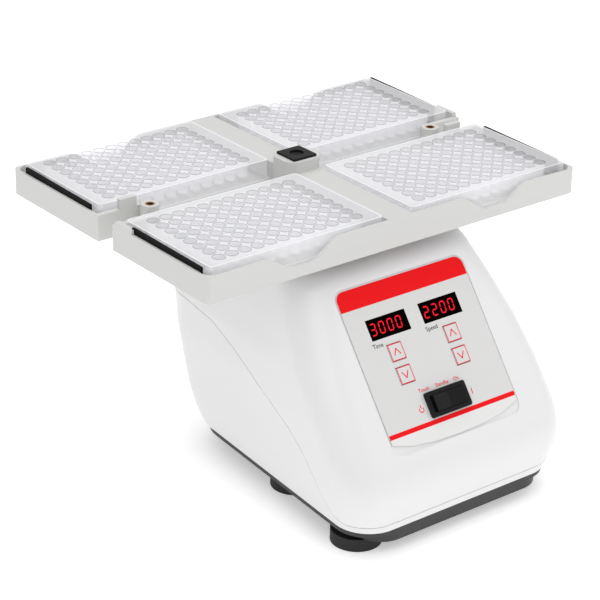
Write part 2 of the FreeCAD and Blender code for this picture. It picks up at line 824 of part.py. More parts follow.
# Drive: bracket, motor, eccentric and counterweight
bracket = new_body("bracket_body")
pad(bracket, "bracket_plate",
    [rectangle("-bracket_half", "bracket_half", "bracket_front_y", "bracket_rear_y"),
     ("0", "drive_y", "hub_radius")],
    "bracket_z", "bracket_thickness")
node("motor_bracket", bracket)
for end in ("front", "rear"):
    for side, sign in (("left", "-"), ("right", "")):
        name = "standoff_%s_%s" % (end, side)
        post = new_body(name + "_body")
        pad(post, name + "_pad", [many_sided(sign + "standoff_x", "standoff_%s_y" % end, "standoff_radius", 6)],
            PAN_FLOOR, "bracket_z - foot_height - pan_floor")
        node(name, post)

MOTOR_BOTTOM = "bracket_z - motor_length"
motor = turned("motor_body", [
    ("0", "drive_y", "motor_radius", MOTOR_BOTTOM, "motor_length", None),
])
pocket(motor, "motor_bore", [("0", "drive_y", "shaft_radius + running_gap")], "bracket_z", "motor_length - 8")
node("motor_can", motor)

SHAFT_BOTTOM = "hub_bottom + hub_length - 2 - shaft_length"
shaft = turned("shaft_body", [("0", "drive_y", "shaft_radius", SHAFT_BOTTOM, "shaft_length", None)])
node("motor_shaft", shaft)

TRAY_Y = "drive_y + orbit_radius"
PIN_BOTTOM = "hub_bottom + hub_length"
hub = turned("hub_body", [
    ("0", "drive_y", "hub_radius", "hub_bottom", "hub_length", None),
    ("0", TRAY_Y, "pin_radius", PIN_BOTTOM, "pin_length", None),
])
pocket(hub, "hub_bore", [("0", "drive_y", "shaft_radius + running_gap / 2")],
       PIN_BOTTOM + " - 2", "hub_length - 2")
node("eccentric_hub", hub)

weight = new_body("weight_body")
pad(weight, "weight_disc",
    [("0", "drive_y", "weight_radius"), ("0", "drive_y", "hub_radius + running_gap / 2")],
    "hub_bottom", "weight_thickness")
pocket(weight, "weight_half",
       [rectangle("-weight_radius - 2", "weight_radius + 2", "drive_y", "drive_y + weight_radius + 2")],
       "hub_bottom + weight_thickness", "weight_thickness")
node("counterweight", weight)

BEARING_BOTTOM = PIN_BOTTOM + " + pin_length - bearing_width"
inner_ring = turned("bearing_inner_body", [
    ("0", TRAY_Y, "bearing_split", BEARING_BOTTOM, "bearing_width", ("0", TRAY_Y, "pin_radius + running_gap / 2")),
])
node("bearing_inner", inner_ring)
outer_ring = turned("bearing_outer_body", [
    ("0", TRAY_Y, "bearing_radius", BEARING_BOTTOM, "bearing_width", ("0", TRAY_Y, "bearing_split + running_gap")),
])
node("bearing_outer", outer_ring)

head = turned("head_body", [
    ("0", TRAY_Y, "neck_radius", "neck_bottom", "neck_top - neck_bottom", None),
    ("0", TRAY_Y, "flange_radius", "neck_top", "flange_thickness", None),
])
HEAD_WEB = PIN_BOTTOM + " + pin_length + 0.3"
pocket(head, "head_bore", [("0", TRAY_Y, "bearing_radius + running_gap / 2")], HEAD_WEB,
       HEAD_WEB + " - neck_bottom + 1")
pocket(head, "head_thread", [("0", TRAY_Y, "screw_radius + running_gap")],
       "neck_top + flange_thickness", "neck_top + flange_thickness - neck_bottom")
node("drive_head", head)

COLLAR_TOP = "body_top + collar_height"
boot = turned("boot_body", [
    ("0", TRAY_Y, "collar_bore + boot_wall / 2", COLLAR_TOP, "boot_wall", ("0", TRAY_Y, "neck_radius + running_gap")),
    ("0", TRAY_Y, "neck_radius + boot_wall", COLLAR_TOP, "neck_top - body_top - collar_height - 0.5",
     ("0", TRAY_Y, "neck_radius + running_gap")),
])
node("drive_boot", boot)

# Tray
PLATES = {
    "front_left": ("-", "-"),
    "front_right": ("", "-"),
    "rear_left": ("-", ""),
    "rear_right": ("", ""),
}


def tray_y(sign, amount):
    return "drive_y + orbit_radius %s (%s)" % (sign or "+", amount)


tray = new_body("tray_body")
END_X = "tray_half_length"
tray_block = pad(tray, "tray_block",
                 [rectangle("-tray_half_length", END_X, tray_y("-", "tray_half_depth"), tray_y("", "tray_half_depth"))],
                 "tray_bottom", "tray_rim - tray_bottom")
round_edges(tray, "tray_corners", upright_edges(tray_block.Shape), "tray_corner")
RIM_DEPTH = "tray_rim - plate_floor"
INNER_X = "plate_x + plate_length / 2 + plate_clearance + pad_thickness"
OUTER_Y = "plate_y + plate_depth / 2 + plate_clearance"
pocket(tray, "tray_well",
       [rectangle("-(%s)" % INNER_X, INNER_X, tray_y("-", OUTER_Y), tray_y("", OUTER_Y))],
       "tray_rim", RIM_DEPTH)
WEB_HALF = "plate_x - plate_length / 2 - plate_clearance"
pad(tray, "tray_web",
    [rectangle("-(%s)" % WEB_HALF, WEB_HALF, tray_y("-", "tray_half_depth"), tray_y("", "tray_half_depth"))],
    "plate_floor", "web_height")
HIGH_HALF = "plate_x - scoop_half"
for end, sign in (("front", "-"), ("back", "")):
    pad(tray, "high_rim_" + end,
        [rectangle("-(%s)" % HIGH_HALF, HIGH_HALF, tray_y(sign, OUTER_Y), tray_y(sign, "tray_half_depth"))],
        "plate_floor", "web_height")
HUB_Y = "plate_y - plate_depth / 2 - plate_clearance"
hub_pad = pad(tray, "tray_hub",
              [rectangle("-centre_hub_half", "centre_hub_half", tray_y("-", HUB_Y), tray_y("", HUB_Y))],
              "plate_floor", "centre_hub_height")
hub_edges = upright_edges(
    hub_pad.Shape,
    lambda p: abs(abs(p.x) - size("centre_hub_half")) < 0.01 and abs(p.y - size(TRAY_Y)) < size(HUB_Y) + 0.01,
)
round_edges(tray, "tray_hub_corners", hub_edges, "centre_hub_radius")
for plate_name, (sx, sy) in PLATES.items():
    sign_y = sy or "+"
    middle = "drive_y + orbit_radius %s plate_y" % sign_y
    wall_x = rectangle(
        "%s(%s)" % (sx, INNER_X), "%stray_half_length" % sx,
        "%s - end_wall_half" % middle, "%s + end_wall_half" % middle,
    )
    pad(tray, "end_wall_" + plate_name, [wall_x], "plate_floor", "end_wall_height")
    inner_y = "notch_half"
    outer_y = "notch_half + notch_wall"
    notch_wall = rectangle(
        "%s(notch_inner_x - notch_wall)" % sx, "%stray_half_length" % sx,
        tray_y(sy, inner_y), tray_y(sy, outer_y),
    )
    pad(tray, "notch_wall_" + plate_name, [notch_wall], "tray_bottom", "tray_rim - tray_bottom")
# Finger scoops in the front and back rims, one beside each plate
RAMP = ((0, 0), (0.12, 0.04), (0.26, 0.16), (0.4, 0.35), (0.6, 0.65), (0.74, 0.84), (0.88, 0.96), (1, 1))
SCOOP_FLOOR = "tray_rim - scoop_drop"
WEB_TOP = "plate_floor + web_height"


def scoop_ring(sign):
    """The side view of one scoop: an S-shaped ramp at either end."""
    def across(amount):
        return "%s(plate_x + %s)" % (sign, amount)
    ring = [(across("scoop_half + scoop_ramp"), WEB_TOP + " + 1")]
    for run, drop in RAMP:
        x = across("scoop_half + scoop_ramp * %s" % (1 - run))
        ring.append((x, "tray_rim - scoop_drop * %s" % drop))
    for run, drop in reversed(RAMP):
        x = across("(0 - scoop_half - scoop_ramp * %s)" % (1 - run))
        ring.append((x, "%s - (%s - tray_rim + scoop_drop) * %s" % (WEB_TOP, WEB_TOP, drop)))
    ring.append((across("(0 - scoop_half - scoop_ramp)"), WEB_TOP + " + 1"))
    return ring


for side, sign in (("left", "-"), ("right", "")):
    scoop = outline(tray, "scoop_%s_outline" % side, [scoop_ring(sign)], "0 - drive_y - orbit_radius", "XZ_Plane")
    before = tray.Shape.Volume
    groove = tray.newObject("PartDesign::Pocket", "scoop_" + side)
    groove.Profile = scoop
    groove.Midplane = True
    bind(groove, "Length", "tray_half_depth * 2 + 2")
    doc.recompute()
    tray.Tip = groove
    if groove.Shape.Volume >= before:
        raise RuntimeError("scoop removed nothing")

# Insert bosses, each at the inner end of a finger notch
for side, sign in (("left", "-"), ("right", "")):
    pad(tray, "boss_" + side, [(sign + "boss_x", TRAY_Y, "boss_radius")], "plate_floor - floor_thickness",
        "boss_height + floor_thickness")
    pocket(tray, "boss_bore_" + side, [(sign + "boss_x", TRAY_Y, "insert_radius + running_gap / 2")],
           "plate_floor + boss_height", "insert_length")
    notch = rectangle(sign + "notch_inner_x", sign + "(tray_half_length + 1)",
                      tray_y("-", "notch_half"), tray_y("", "notch_half"))
    pocket(tray, "notch_" + side, [notch], "tray_rim + 10", "tray_rim - tray_bottom + 20")

# Hollow underside, with ribs on the two centre lines
UNDER_TOP = "plate_floor - floor_thickness"
for plate_name, (sx, sy) in PLATES.items():
    under = rectangle(
        "%s(centre_hub_half)" % sx, "%s(tray_half_length - tray_skirt)" % sx,
        tray_y(sy, "notch_half + notch_wall"), tray_y(sy, "tray_half_depth - tray_skirt"),
    )
    pocket(tray, "under_" + plate_name, [under], UNDER_TOP, UNDER_TOP + " - tray_bottom + 1")
pocket(tray, "under_flange", [("0", TRAY_Y, "flange_radius + 0.5")], UNDER_TOP,
       UNDER_TOP + " - tray_bottom + 1")
HUB_TOP = "plate_floor + centre_hub_height"
pocket(tray, "tray_screw_hole", [("0", TRAY_Y, "screw_radius + running_gap * 2")], HUB_TOP,
       HUB_TOP + " - tray_bottom + 1")
pocket(tray, "tray_screw_seat", [("0", TRAY_Y, "screw_head_radius + 0.2")], HUB_TOP,
       "screw_head_height - 0.5")
node("tray", tray)

cap = new_body("cap_body")
pad(cap, "cap_sheet", [centred("0", TRAY_Y, "cap_side", "cap_side"), ("0", TRAY_Y, "cap_bore")],
    HUB_TOP, "cap_thickness")
node("hub_cap", cap)
SEAT = HUB_TOP + " - screw_head_height + 0.5"
screw = turned("screw_body", [
    ("0", TRAY_Y, "screw_radius", "neck_top - 2", SEAT + " - neck_top + 2", None),
    ("0", TRAY_Y, "screw_head_radius", SEAT, "screw_head_height", None),
])
node("tray_screw", screw)

for plate_name, (sx, sy) in PLATES.items():
    middle = "drive_y + orbit_radius %s plate_y" % (sy or "+")
    grip = new_body("grip_%s_body" % plate_name)
    strip = rectangle(
        "%s(%s - pad_thickness)" % (sx, INNER_X), "%s(%s)" % (sx, INNER_X),
        "%s - pad_half" % middle, "%s + pad_half" % middle,
    )
    pad(grip, "grip_%s_pad" % plate_name, [strip], "plate_floor", "pad_height")
    node("grip_" + plate_name, grip)
for side, sign in (("left", "-"), ("right", "")):
    insert = turned("insert_%s_body" % side, [
        (sign + "boss_x", TRAY_Y, "insert_radius", "plate_floor + boss_height - insert_length", "insert_length",
         (sign + "boss_x", TRAY_Y, "insert_bore")),
    ])
    node("insert_" + side, insert)

# Microplates: one drawn with its grid of wells, three mirrored from it
plate = new_body("plate_body")
PLATE_SPOT = ("-plate_x", "drive_y + orbit_radius - plate_y")
flange = pad(plate, "plate_flange_pad", [centred(*PLATE_SPOT, "plate_length", "plate_depth")],
             "plate_floor", "plate_flange")
block_size = ("plate_length - plate_step * 2", "plate_depth - plate_step * 2")
pad(plate, "plate_block", [centred(*PLATE_SPOT, *block_size)],
    "plate_floor + plate_flange", "plate_height - plate_flange")
corner_edges = upright_edges(plate.Shape)
bevel_edges(plate, "plate_corners", corner_edges, "plate_corner")
first_x = "(0 - plate_x - well_pitch * (well_columns - 1) / 2)"
first_y = "(drive_y + orbit_radius - plate_y - well_pitch * (well_rows - 1) / 2)"
well_ring = centred(first_x, first_y, "well_width", "well_width")
first_well = pocket(plate, "first_well", [well_ring], "plate_floor + plate_height", "well_depth")
grid = plate.newObject("PartDesign::MultiTransform", "well_grid")
plate_axes = {f.Role: f for f in plate.Origin.OriginFeatures}
steps = []
for name, role, count in (("well_columns_step", "X_Axis", "well_columns"), ("well_rows_step", "Y_Axis", "well_rows")):
    step = plate.newObject("PartDesign::LinearPattern", name)
    step.Direction = (plate_axes[role], [""])
    bind(step, "Length", "well_pitch * (%s - 1)" % count)
    bind(step, "Occurrences", count)
    steps.append(step)
grid.Originals = [first_well]
grid.Transformations = steps
plate.Tip = grid
doc.recompute()
node("microplate_front_left", plate)


def mirrored(name, source, normal, y):
    copy = doc.addObject("Part::Mirroring", name)
    copy.Source = source
    copy.Normal = normal
    copy.Base = FreeCAD.Vector(0, size(y), 0)
    doc.recompute()
    return copy


across = FreeCAD.Vector(1, 0, 0)
along = FreeCAD.Vector(0, 1, 0)
front_right = mirrored("plate_front_right", plate, across, "0")
node("microplate_front_right", front_right)
node("microplate_rear_left", mirrored("plate_rear_left", plate, along, TRAY_Y))
node("microplate_rear_right", mirrored("plate_rear_right", front_right, along, TRAY_Y))

doc.recompute()
for item in doc.Objects:
    if "Invalid" in item.State or "Error" in item.State:
        raise RuntimeError("%s did not build" % item.Name)
os.makedirs("parts", exist_ok=True)
for name, item in NODES.items():
    shape = item.Shape
    if shape.isNull() or not shape.isValid() or not shape.Solids:
        raise RuntimeError("%s has no valid solid" % name)
    shape.exportStep("parts/%s.step" % name)
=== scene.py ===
import json
import math

import bmesh
import bpy
from mathutils import Matrix, Vector


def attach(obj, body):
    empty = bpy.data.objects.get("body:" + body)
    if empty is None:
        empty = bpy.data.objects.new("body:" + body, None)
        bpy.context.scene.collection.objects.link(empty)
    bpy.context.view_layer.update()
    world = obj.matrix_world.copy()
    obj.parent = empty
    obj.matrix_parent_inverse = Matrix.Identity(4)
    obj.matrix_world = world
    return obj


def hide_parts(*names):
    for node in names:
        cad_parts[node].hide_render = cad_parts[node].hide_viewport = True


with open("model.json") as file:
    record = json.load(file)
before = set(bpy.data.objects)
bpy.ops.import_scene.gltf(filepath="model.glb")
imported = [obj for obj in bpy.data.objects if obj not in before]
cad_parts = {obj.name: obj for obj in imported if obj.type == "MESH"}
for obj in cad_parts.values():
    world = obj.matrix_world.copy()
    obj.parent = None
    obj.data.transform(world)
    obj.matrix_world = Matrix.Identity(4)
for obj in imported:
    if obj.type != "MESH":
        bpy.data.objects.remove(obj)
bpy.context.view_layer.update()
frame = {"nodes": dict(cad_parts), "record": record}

scene = bpy.context.scene
scene.view_settings.view_transform = "Standard"
scene.view_settings.look = "None"
MM = 0.001

# Places shared with the solids, in millimetres
TRAY_Y = 33.95
PLATE_FLOOR = 163.65
PANEL_AT = (0.0, -71.0, 129.0)
PANEL_SLOPE = 52.52
PANEL = Matrix.Translation(Vector(PANEL_AT) * MM) @ Matrix.Rotation(math.radians(PANEL_SLOPE), 4, "X")
SHEET_TOP = 0.2
KEY_TOP = 0.7
PRINT_LIFT = 0.04
QUARTERS = {"front_left": (-1, -1), "front_right": (1, -1), "rear_left": (-1, 1), "rear_right": (1, 1)}

# Finishes
GRAIN_SCALE = 2600
GRAIN_DEPTH = 0.00005


def material(name, colour, rough, metal=0.0, coat=0.0, grain=0.0, glow=0.0, shine=0.5):
    """A principled finish; grain adds a fine moulded texture."""
    made = bpy.data.materials.new(name)
    made.use_nodes = True
    tree = made.node_tree
    shader = tree.nodes["Principled BSDF"]
    shader.inputs["Base Color"].default_value = (*colour, 1)
    shader.inputs["Roughness"].default_value = rough
    shader.inputs["Metallic"].default_value = metal
    shader.inputs["Coat Weight"].default_value = coat
    shader.inputs["Specular IOR Level"].default_value = shine
    if glow:
        shader.inputs["Emission Color"].default_value = (*colour, 1)
        shader.inputs["Emission Strength"].default_value = glow
    if grain:
        noise = tree.nodes.new("ShaderNodeTexNoise")
        noise.inputs["Scale"].default_value = GRAIN_SCALE
        place = tree.nodes.new("ShaderNodeTexCoord")
        bump = tree.nodes.new("ShaderNodeBump")
        bump.inputs["Strength"].default_value = grain
        bump.inputs["Distance"].default_value = GRAIN_DEPTH
        tree.links.new(place.outputs["Object"], noise.inputs["Vector"])
        tree.links.new(noise.outputs["Fac"], bump.inputs["Height"])
        tree.links.new(bump.outputs["Normal"], shader.inputs["Normal"])
    return made


CLEAR_TONE = (0.97, 0.97, 0.98, 1)
CLEAR_ROUGH = 0.18
# Painted light: the clear plastic glows with a faint emission that brightens it as though lit, though it is
# no lamp.
CLEAR_PAINTED_GLOW_TONE = (0.97, 0.97, 1.0, 1)
CLEAR_PAINTED_GLOW = 0.135
CLEAR_BLUE = 0.01


def clear_plastic(name, veil, tint=0.955):
    """Clear polystyrene: all but the veil's share of the light passes straight through, dimmed by tint; the
    veil's share also carries a painted glow that brightens the plastic as though lit.
    """
    made = bpy.data.materials.new(name)
    made.use_nodes = True
    tree = made.node_tree
    shader = tree.nodes["Principled BSDF"]
    shader.inputs["Base Color"].default_value = CLEAR_TONE
    shader.inputs["Roughness"].default_value = CLEAR_ROUGH
    # Painted light: this emission brightens the clear plastic in place of the light it would scatter.
    shader.inputs["Emission Color"].default_value = CLEAR_PAINTED_GLOW_TONE
    shader.inputs["Emission Strength"].default_value = CLEAR_PAINTED_GLOW
    through = tree.nodes.new("ShaderNodeBsdfTransparent")
    through.inputs["Color"].default_value = (tint, tint, tint + CLEAR_BLUE, 1)
    mix = tree.nodes.new("ShaderNodeMixShader")
    mix.inputs["Fac"].default_value = veil
    tree.links.new(through.outputs["BSDF"], mix.inputs[1])
    tree.links.new(shader.outputs["BSDF"], mix.inputs[2])
    tree.links.new(mix.outputs["Shader"], tree.nodes["Material Output"].inputs["Surface"])
    return made


FINISH = {
    "white_shell": material("white_shell", (0.805, 0.80, 0.81), 0.38, coat=0.15, grain=0.05),
    "tray_plastic": material("tray_plastic", (0.645, 0.645, 0.63), 0.5, grain=0.08),
    # This clear plastic carries the painted glow set in clear_plastic().
    "clear_plastic": clear_plastic("clear_plastic", 0.42),
    "overlay_grey": material("overlay_grey", (0.70, 0.695, 0.69), 0.45, grain=0.05),
    "key_grey": material("key_grey", (0.69, 0.685, 0.68), 0.45, grain=0.05),
    "display_black": material("display_black", (0.002, 0.001, 0.001), 0.5, grain=0.02, shine=0.0),
    "black_plastic": material("black_plastic", (0.006, 0.006, 0.007), 0.42, grain=0.05, shine=0.16),
    "base_dark": material("base_dark", (0.028, 0.028, 0.029), 0.5, grain=0.1),
    "rubber": material("rubber", (0.014, 0.014, 0.014), 0.75, grain=0.15),
    "steel": material("steel", (0.55, 0.55, 0.56), 0.3, metal=1.0, grain=0.05),
    "aluminium": material("aluminium", (0.72, 0.72, 0.73), 0.32, metal=1.0, grain=0.05),
    "brass": material("brass", (0.50, 0.31, 0.15), 0.42, metal=1.0, grain=0.03),
    "board_green": material("board_green", (0.02, 0.16, 0.05), 0.5, grain=0.05),
}
STRIP_BLACK = material("strip_black", (0.003, 0.003, 0.003), 0.6, grain=0.05, shine=0.1)
BLACK_OXIDE = material("black_oxide", (0.006, 0.006, 0.006), 0.5, grain=0.03, shine=0.15)
CLEAR_WALL = clear_plastic("clear_wall", 0.3)
# Painted highlight: the plates' top rim is more opaque and glows more, so it reads as a bright line like
# light glinting along the rim; its darker tint greys what passes through it.
CLEAR_EDGE_PAINTED_HIGHLIGHT = clear_plastic("clear_edge_painted_highlight", 0.62, 0.8)
CLEAR_WELL = clear_plastic("clear_well", 0.42, 0.96)
# Painted shade: the raised lips round the wells get a darker tint, so they show as grey rings, standing in
# for the light that clear plastic bends away at its edges.
CLEAR_LIP_PAINTED_SHADE = clear_plastic("clear_lip_painted_shade", 0.25, 0.72)
PRINT_RED = material("print_red", (0.87, 0.012, 0.015), 0.8, grain=0.03, shine=0.05)
PRINT_DARK = material("print_dark", (0.06, 0.06, 0.065), 0.5, grain=0.03)
PRINT_PALE = material("print_pale", (0.79, 0.785, 0.78), 0.5, grain=0.03)
DIGIT_RED = material("digit_red", (0.80, 0.012, 0.022), 0.8, glow=0.3, shine=0.05)

for row in frame["record"]["subparts"]:
    node = frame["nodes"][row["node"]]
    node.data.materials.clear()
    node.data.materials.append(FINISH[row["material_slot"]])
frame["nodes"]["tray_screw"].data.materials[0] = BLACK_OXIDE


# Ways to make a piece
def mesh_piece(name, points, faces, finish, body):
    """A piece from its points, in metres, and its faces."""
    data = bpy.data.meshes.new(name)
    data.from_pydata([tuple(p) for p in points], [], faces)
    data.materials.append(finish)
    piece = bpy.data.objects.new(name, data)
    scene.collection.objects.link(piece)
    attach(piece, body)
    return piece


def prism(name, ring, low, high, finish, body):
    """An upright piece with one plan outline, in millimetres."""
    count = len(ring)
    points = [(x * MM, y * MM, z * MM) for z in (low, high) for x, y in ring]
    faces = [[i, (i + 1) % count, count + (i + 1) % count, count + i] for i in range(count)]
    faces += [list(range(count))[::-1], list(range(count, 2 * count))]
    return mesh_piece(name, points, faces, finish, body)


def block(name, x_range, y_range, low, tops, finish):
    """An upright box on the tray, in millimetres; tops gives its height at either end along y."""
    points = []
    for y, top in zip(y_range, tops):
        corners = ((x_range[0], low), (x_range[1], low), (x_range[1], top), (x_range[0], top))
        points += [(x * MM, y * MM, z * MM) for x, z in corners]
    faces = [[0, 1, 2, 3], [7, 6, 5, 4], [0, 4, 5, 1], [1, 5, 6, 2], [2, 6, 7, 3], [3, 7, 4, 0]]
    return mesh_piece(name, points, faces, finish, "shaker")


def arc(centre, radius, first, last, steps):
    """Points on a round stretch, from one angle to another, in degrees."""
    made = []
    for step in range(steps + 1):
        turn = math.radians(first + (last - first) * step / steps)
        made.append((centre[0] + radius * math.cos(turn), centre[1] + radius * math.sin(turn)))
    return made


# Moulded skins
MOULD_EDGE = 28
WELD = 0.00002
SLIVER = 0.00001
LEVEL_ANGLE = 0.004
OLD_SHADING = ("custom_normal", "sharp_face", "sharp_edge")


def smooth_copy(node_name, body, slot, reshape=None):
    """The same surface with its level faces shaded as one moulded skin; reshape may move its points."""
    source = frame["nodes"][node_name]
    work = bmesh.new()
    work.from_mesh(source.data)
    work.transform(source.matrix_world)
    bmesh.ops.remove_doubles(work, verts=work.verts, dist=WELD)
    if reshape:
        bmesh.ops.dissolve_limit(work, angle_limit=LEVEL_ANGLE, verts=work.verts, edges=work.edges)
        for point in work.verts:
            point.co = reshape(*(point.co / MM)) * MM
        bmesh.ops.remove_doubles(work, verts=work.verts, dist=WELD)
        bmesh.ops.dissolve_degenerate(work, dist=SLIVER, edges=work.edges)
        bmesh.ops.triangulate(work, faces=work.faces, ngon_method="EAR_CLIP")
    data = bpy.data.meshes.new("skin_" + node_name)
    work.to_mesh(data)
    work.free()
    for layer in [a.name for a in data.attributes if a.name in OLD_SHADING]:
        data.attributes.remove(data.attributes[layer])
    data.shade_smooth()
    data.set_sharp_from_angle(angle=math.radians(MOULD_EDGE))
    data.materials.clear()
    data.materials.append(FINISH[slot])
    piece = bpy.data.objects.new("skin_" + node_name, data)
    scene.collection.objects.link(piece)
    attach(piece, body)
    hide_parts(node_name)
    return piece


for moulding in ("upper_cover", "lower_housing"):
    smooth_copy(moulding, "housing", "white_shell")


# Print on the sloping panel, in its own u (across) and v (up the slope)
def on_panel(u, v, lift):
    return PANEL @ Vector((u * MM, v * MM, lift * MM))


def printed(name, shapes, lift, finish, body="housing"):
    """Flat printed shapes on the panel: lists of (u, v) corners."""
    points = []
    faces = []
    for shape in shapes:
        start = len(points)
        points += [on_panel(u, v, lift) for u, v in shape]
        faces.append(list(range(start, start + len(shape))))
    return mesh_piece(name, points, faces, finish, body)


def bar(u0, v0, u1, v1, width):
    """A straight stroke from one point to another."""
    run = Vector((u1 - u0, v1 - v0)).normalized()
    side = Vector((-run.y, run.x)) * (width / 2)
    return [
        (u0 - side.x, v0 - side.y), (u1 - side.x, v1 - side.y),
        (u1 + side.x, v1 + side.y), (u0 + side.x, v0 + side.y),
    ]


# Red band with rounded upper corners, and the thin line near the bottom
BAND_HALF = 48.9
BAND_TOP = 12.2
BAND_ROUND = 6.0
BAND_STEPS = 6
LINE_LOW = -78.4
LINE_TOP = -75.6
band = [(-BAND_HALF, 0.0), (BAND_HALF, 0.0)]
for side, first in ((1, 0), (-1, 90)):
    centre = (side * (BAND_HALF - BAND_ROUND), BAND_TOP - BAND_ROUND)
    band += arc(centre, BAND_ROUND, first, first + 90, BAND_STEPS)
line = [(-BAND_HALF, LINE_LOW), (BAND_HALF, LINE_LOW), (BAND_HALF, LINE_TOP), (-BAND_HALF, LINE_TOP)]
printed("print_band", [band, line], SHEET_TOP + PRINT_LIFT, PRINT_RED)

# Pale field below the line, down to the sheet's curved edge
FIELD_LOW = -81.4
FIELD_SAG = 6.5
SAG_STEPS = ((-1, 0), (-0.72, 0.62), (-0.36, 0.92), (0, 1), (0.36, 0.92), (0.72, 0.62), (1, 0))
field = [(BAND_HALF * part, FIELD_LOW - FIELD_SAG * drop) for part, drop in SAG_STEPS]
field += [(BAND_HALF, LINE_LOW), (-BAND_HALF, LINE_LOW)]
printed("print_foot", [field], SHEET_TOP + PRINT_LIFT, PRINT_PALE)

# Seven-segment figures: the lit strokes of each
SEGMENTS = {"0": "abcdef", "2": "abged", "3": "abgcd"}
DIGIT_W = 3.4
DIGIT_H = 6.8
DIGIT_STEP = 6.45
DIGIT_V = -17.9
STROKE = 0.8
STROKE_GAP = 0.32
SLANT = 0.08
READINGS = {"figures_time": ("3000", -33.5), "figures_speed": ("2200", 7.5)}


def figure(char, u, v):
    """The strokes of one figure, with its lower left corner at (u, v)."""
    half = DIGIT_H / 2
    left = STROKE_GAP
    right = DIGIT_W - STROKE_GAP
    spots = {
        "a": (left, DIGIT_H, right, DIGIT_H),
        "b": (DIGIT_W, half + STROKE_GAP, DIGIT_W, DIGIT_H - STROKE_GAP),
        "c": (DIGIT_W, STROKE_GAP, DIGIT_W, half - STROKE_GAP),
        "d": (left, 0, right, 0),
        "e": (0, STROKE_GAP, 0, half - STROKE_GAP),
        "f": (0, half + STROKE_GAP, 0, DIGIT_H - STROKE_GAP),
        "g": (left, half, right, half),
    }
    shapes = []
    for part in SEGMENTS[char]:
        stroke = bar(*spots[part], STROKE)
        shapes.append([(u + x + y * SLANT, v + y) for x, y in stroke])
    return shapes


for name, (text, left) in READINGS.items():
    shapes = []
    for place, char in enumerate(text):
        shapes += figure(char, left + place * DIGIT_STEP, DIGIT_V)
    printed(name, shapes, SHEET_TOP + PRINT_LIFT, DIGIT_RED)

# Key outlines and chevrons: each key's centre, and the way its chevron points
KEY_SPOTS = {
    "key_time_up": (-21.7, -30.8, 1), "key_time_down": (-21.7, -45.1, -1),
    "key_speed_up": (21.7, -30.8, 1), "key_speed_down": (21.7, -45.1, -1),
}
KEY_REACH = 4.88
KEY_STROKE = 0.5
CHEVRON_HALF = 2.4
CHEVRON_FOOT = 2.0
CHEVRON_TIP = 2.2
CHEVRON_OVERLAP = 0.1
CHEVRON_STROKE = 0.65
for key, (u, v, way) in KEY_SPOTS.items():
    corners = [(u + KEY_REACH * a, v + KEY_REACH * b) for a, b in ((-1, -1), (1, -1), (1, 1), (-1, 1))]
    strokes = [bar(*corners[i], *corners[(i + 1) % 4], KEY_STROKE) for i in range(4)]
    for side in (-1, 1):
        foot = (u + side * CHEVRON_HALF, v - CHEVRON_FOOT * way)
        tip = (u - side * CHEVRON_OVERLAP, v + CHEVRON_TIP * way)
        strokes.append(bar(*foot, *tip, CHEVRON_STROKE))
    printed("print_" + key, strokes, KEY_TOP + PRINT_LIFT, PRINT_RED, key)

# Marks beside the power switch: an upright bar, and a ring that a bar enters from above
MARK_STROKE = 0.6
BAR_U = 19.6
BAR_V = (-69.0, -65.4)
RING_AT = (-20.0, -67.6)
RING_RADIUS = 1.6
RING_FIRST = 144
RING_LAST = 396
RING_STEPS = 14
RING_BAR_V = (-67.0, -64.8)
inner_arc = arc(RING_AT, RING_RADIUS - MARK_STROKE / 2, RING_FIRST, RING_LAST, RING_STEPS)
outer_arc = arc(RING_AT, RING_RADIUS + MARK_STROKE / 2, RING_FIRST, RING_LAST, RING_STEPS)
switch_marks = [bar(BAR_U, BAR_V[0], BAR_U, BAR_V[1], MARK_STROKE)]
for step in range(RING_STEPS):
    switch_marks.append([inner_arc[step], outer_arc[step], outer_arc[step + 1], inner_arc[step + 1]])
switch_marks.append(bar(RING_AT[0], RING_BAR_V[0], RING_AT[0], RING_BAR_V[1], MARK_STROKE))
printed("print_switch_marks", switch_marks, SHEET_TOP + PRINT_LIFT, PRINT_RED)

# Legends under the displays and above the switch
READOUT_TEXT = 3.8
READOUT_TEXT_V = -24.3
SWITCH_TEXT = 3.2
SWITCH_TEXT_V = -57.0
TEXT_WEIGHT = 0.04
TEXT_CURVE = 3


def lettering(name, text, u, v, height, finish):
    """A short legend printed flat on the panel, centred on (u, v)."""
    curve = bpy.data.curves.new(name, "FONT")
    curve.body = text
    curve.size = height
    curve.align_x = "CENTER"
    curve.align_y = "CENTER"
    curve.resolution_u = TEXT_CURVE
    curve.offset = TEXT_WEIGHT
    drawn = bpy.data.objects.new(name, curve)
    scene.collection.objects.link(drawn)
    bpy.context.view_layer.update()
    flat = drawn.to_mesh()
    points = [on_panel(u + c.co.x, v + c.co.y, SHEET_TOP + PRINT_LIFT) for c in flat.vertices]
    faces = [list(f.vertices) for f in flat.polygons]
    drawn.to_mesh_clear()
    bpy.data.objects.remove(drawn)
    bpy.data.curves.remove(curve)
    return mesh_piece(name, points, faces, finish, "housing")


for word, text, u in (("time", "Time", -32.6), ("speed", "Speed", 8.9)):
    lettering("legend_" + word, text, u, READOUT_TEXT_V, READOUT_TEXT, PRINT_DARK)
for word, text, u in (("pulse", "Touch", -13.2), ("standby", "Standby", 0.8), ("on", "On", 11.8)):
    lettering("legend_" + word, text, u, SWITCH_TEXT_V, SWITCH_TEXT, PRINT_RED)

